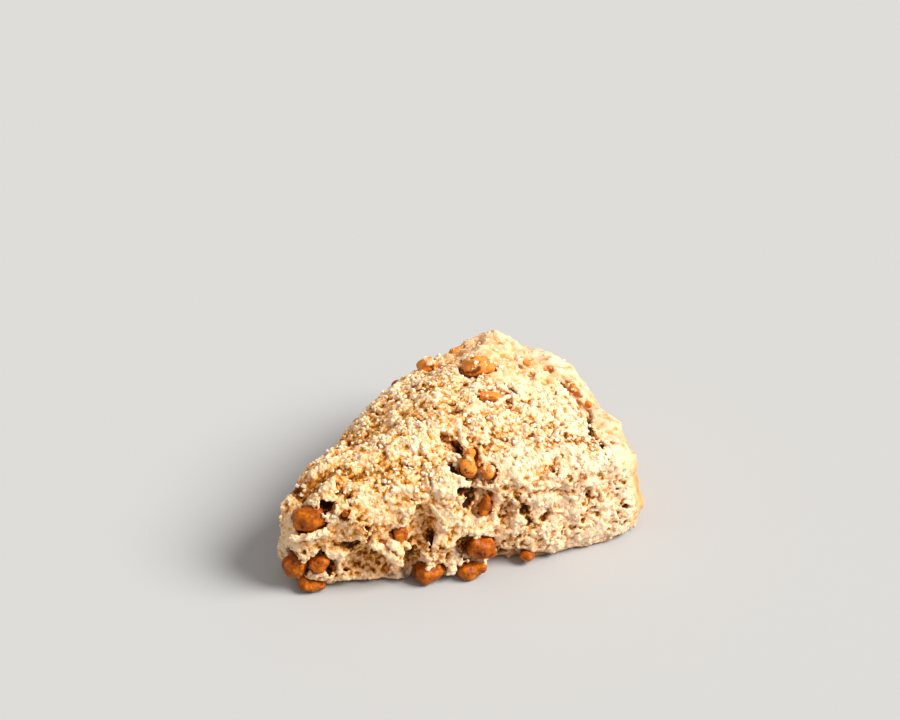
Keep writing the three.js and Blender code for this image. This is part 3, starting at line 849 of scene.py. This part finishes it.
# The cinnamon chips, in mm. The sunken ones, in cracks and under crumb, are smaller than their solids.
chip = {
    "levels": 3,
    "lump": 1.5, "lumpSize": 3.8,
    "facet": 1.0, "facetSize": 3.0,
    "grit": 0.4, "gritSize": 0.8,
    "proud": 0.1, "sunken": -0.45,
}
cinnamon = {
    "wax": "#9c4a00", "bright": "#c46c06", "high": "#e8923a", "dark": "#451803",
    "roughness": 0.4, "specular": 0.22,
    "broad": (3.2, 2.0, 0.6), "fine": (0.7, 3.0, 0.6),
    "brightPatches": (0.45, 0.62),
    "darkPatches": (0.4, 0.3, 0.0, 0.85), "darkSpecks": (0.45, 0.3, 0.0, 0.6),
    "highHeight": (26.0, 33.0, 0.0, 0.85),  # the chips near the top are paler
    "roughPatches": (0.3, 0.7, 0.3, 0.55),
    "bump": 0.5, "bumpDepth": 0.3,
    "soak": 0.1, "soakRadius": (1.0, 0.4, 0.1), "soakDepth": 0.8,
}


def chipTree(name, proud):
    tree, inlet, outlet = shapeTree(name)
    place = scaled(tree, positionOf(tree), 1 / mm)
    lump = centred(tree, noiseField(tree, place, chip["lumpSize"]), chip["lump"])
    facet = bump(tree, place, chip["facetSize"], chip["facet"])
    grit = centred(tree, noiseField(tree, place, chip["gritSize"], 2.0), chip["grit"])
    height = product(tree, total(tree, lump, facet, grit, proud), mm)
    pushed = moved(tree, inlet, scaled(tree, normalOf(tree), height))
    tree.links.new(aboveFloor(tree, pushed), outlet)
    return tree


def chipMaterial(look):
    material, shader = plainMaterial("cinnamon chip", look["wax"], look["roughness"])
    tree = material.node_tree
    place = objectPlace(tree)
    broad = speckled(tree, place, *look["broad"])
    fine = speckled(tree, place, *look["fine"])
    base = mixed(tree, ramp(tree, broad, *look["brightPatches"]), tint(look["wax"]), tint(look["bright"]))
    layers = [
        ("high", ramp(tree, parted(tree, place)[2], *look["highHeight"])),
        ("dark", ramp(tree, broad, *look["darkPatches"])),
        ("dark", ramp(tree, fine, *look["darkSpecks"])),
    ]
    for name, share in layers:
        base = mixed(tree, share, base, tint(look[name]))
    tree.links.new(base, shader.inputs["Base Color"])
    tree.links.new(ramp(tree, fine, *look["roughPatches"]), shader.inputs["Roughness"])
    bumped(tree, shader, fine, look)
    soaked(shader, look)
    return material


chipFinish = chipMaterial(cinnamon)
openRelief = chipTree("chip relief", chip["proud"])
sunkenRelief = chipTree("sunken chip relief", chip["sunken"])
chipPieces = []
for name in chipNames:
    piece = addItem(name + "_baked", mergedCopy([name], name + "_baked"))
    rounded = piece.modifiers.new("rounded", "SUBSURF")
    rounded.levels = chip["levels"]
    rounded.render_levels = chip["levels"]
    grown(piece, "relief", sunkenRelief if name in sunkenChips else openRelief)
    smoothShaded(piece)
    finished(piece, chipFinish)
    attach(piece, "root")
    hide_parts(name)
    chipPieces.append(piece)
print("chips ready,", len(chipNames))

# The coarse sugar, in mm. Apart is the least gap between two crystals' middles.
sugar = {
    "perSquareMetre": 520000.0,
    "apart": 1.05,
    "least": 0.45, "most": 0.85, "sunk": 0.25,
    "seed": 7,
    "lump": 0.0, "lumpSize": 1.0,
    "onSides": 0.0, "onChips": 0.5, "lessOnSmooth": 0.85,
    "patchSize": 9.0, "patchLeast": 0.25,
    "crystal": 1.5, "crystalEdge": 0.22,  # before the crystal is scaled
    "chipsAbove": 31.0,  # the chips that reach higher are sugared too
}
# The loose crumb on the surface, in the same way.
crumb = {
    "perSquareMetre": 1100000.0,
    "apart": 0.8,
    "least": 0.35, "most": 0.95, "sunk": 0.36,
    "seed": 19,
    "lump": 0.35, "lumpSize": 0.5,
    "onSides": 0.5, "onChips": 0.35, "lessOnSmooth": 0.9,
    "patchSize": 6.0, "patchLeast": 0.1,
}
# What the sugar and the crumb share.
scatter = {
    "chipFacing": (0.3, 0.8),  # how far up a chip's side faces where grains start to lie on it
    "patches": (0.36, 0.64),
    "turn": 6.3,  # radians, the most about each axis
}
sugarLook = {
    "colour": "#fff6e4", "clear": "#fffaf0", "warm": "#f8dcab",
    "roughness": 0.2, "roughPatches": (0.3, 0.7, 0.1, 0.3),
    "tone": (1.1, 1.0, 0.5), "warmPatches": (0.4, 0.62),
    "transmission": 0.12, "index": 1.5,
}


def crystalMesh():
    shape = bmesh.new()
    bmesh.ops.create_cube(shape, size=sugar["crystal"])
    bmesh.ops.bevel(shape, geom=shape.edges[:], offset=sugar["crystalEdge"], segments=1, profile=0.5,
                    affect="EDGES", material=-1)
    return meshFrom(shape, "sugar crystal")


def crumbGrainMesh():
    shape = bmesh.new()
    bmesh.ops.create_icosphere(shape, subdivisions=1, radius=1.0)
    return meshFrom(shape, "crumb grain")


# Puts grains on the dough and on the chips in the cover, by the rule's shares.
def scatterTree(label, rule, grainItem, coverItem):
    tree, inlet, outlet = shapeTree(label)
    place = scaled(tree, positionOf(tree), 1 / mm)
    upward = parted(tree, normalOf(tree))[2]
    onChips = ramp(tree, upward, *scatter["chipFacing"], 0.0, rule["onChips"])
    cover = stored(tree, geometryOf(tree, coverItem), "chipShare", onChips)
    whole = addNode(tree, "GeometryNodeJoinGeometry")
    for part in (cover, inlet):
        tree.links.new(part, whole.inputs[0])

    read = {name: named(tree, name + "Share") for name in ("top", "smooth", "foot", "chip", "dough")}
    onTop = maths(tree, "MULTIPLY_ADD", read["top"], 1.0 - rule["onSides"], rule["onSides"])
    offSmooth = maths(tree, "MULTIPLY_ADD", read["smooth"], -rule["lessOnSmooth"], 1.0)
    share = product(tree, onTop, read["dough"], offSmooth, remainder(tree, read["foot"]))
    share = total(tree, share, read["chip"])
    patch = noiseField(tree, place, rule["patchSize"], 2.0)
    share = product(tree, share, ramp(tree, patch, *scatter["patches"], rule["patchLeast"], 1.0))
    feeds = {
        "Mesh": whole.outputs[0], "Distance Min": rule["apart"] * mm,
        "Density Max": rule["perSquareMetre"], "Density Factor": share, "Seed": rule["seed"]}
    spread = addNode(tree, "GeometryNodeDistributePointsOnFaces", feeds, distribute_method="POISSON")
    sink = scaled(tree, spread.outputs["Normal"], -rule["sunk"] * mm)
    sunk = moved(tree, spread.outputs["Points"], sink)

    turn = addNode(tree, "FunctionNodeRandomValue", {
        0: (0, 0, 0), 1: (scatter["turn"],) * 3, "Seed": rule["seed"] + 1}, data_type="FLOAT_VECTOR")
    size = addNode(tree, "FunctionNodeRandomValue", {
        0: (rule["least"] * mm,) * 3, 1: (rule["most"] * mm,) * 3, "Seed": rule["seed"] + 2},
        data_type="FLOAT_VECTOR")
    rotation = addNode(tree, "FunctionNodeEulerToRotation", {0: turn.outputs[0]}).outputs[0]
    grain = geometryOf(tree, grainItem)
    placed = addNode(tree, "GeometryNodeInstanceOnPoints", {
        "Points": sunk, "Instance": grain, "Rotation": rotation, "Scale": size.outputs[0]})
    solid = addNode(tree, "GeometryNodeRealizeInstances", {0: placed.outputs[0]}).outputs[0]
    push = scaled(tree, drift(tree, place, rule["lumpSize"], 2.0), rule["lump"] * 2 * mm)
    tree.links.new(aboveFloor(tree, moved(tree, solid, push)), outlet)
    return tree


def scattered(name, rule, grainMesh, coverItem, finish):
    grainItem = helper(name + " grain", grainMesh)
    piece = addItem(name, doughItem.data.copy())
    grown(piece, "scatter", scatterTree(name + " scatter", rule, grainItem, coverItem))
    finished(piece, finish)
    bpy.data.objects.remove(grainItem)
    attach(piece, "root")
    print(name, "scattered,", len(piece.data.polygons), "faces")
    return piece


def sugarMaterial(look):
    material, shader = plainMaterial("coarse sugar", look["colour"], look["roughness"])
    tree = material.node_tree
    tone = speckled(tree, objectPlace(tree), *look["tone"])
    base = mixed(tree, ramp(tree, tone, *look["warmPatches"]), tint(look["clear"]), tint(look["warm"]))
    tree.links.new(base, shader.inputs["Base Color"])
    tree.links.new(ramp(tree, tone, *look["roughPatches"]), shader.inputs["Roughness"])
    shader.inputs["Transmission Weight"].default_value = look["transmission"]
    shader.inputs["IOR"].default_value = look["index"]
    return material


topChips = [piece for piece in chipPieces if meshBox(piece.data, 0.0)[1].z > sugar["chipsAbove"] * mm]
coverHelper = helper("sugared chips", joinedCopy(topChips, "sugared chips"))
scattered("coarse_sugar", sugar, crystalMesh(), coverHelper, sugarMaterial(sugarLook))
crumbItem = scattered("loose_crumb", crumb, crumbGrainMesh(), coverHelper, doughFinish)
smoothShaded(crumbItem)
bpy.data.objects.remove(coverHelper)
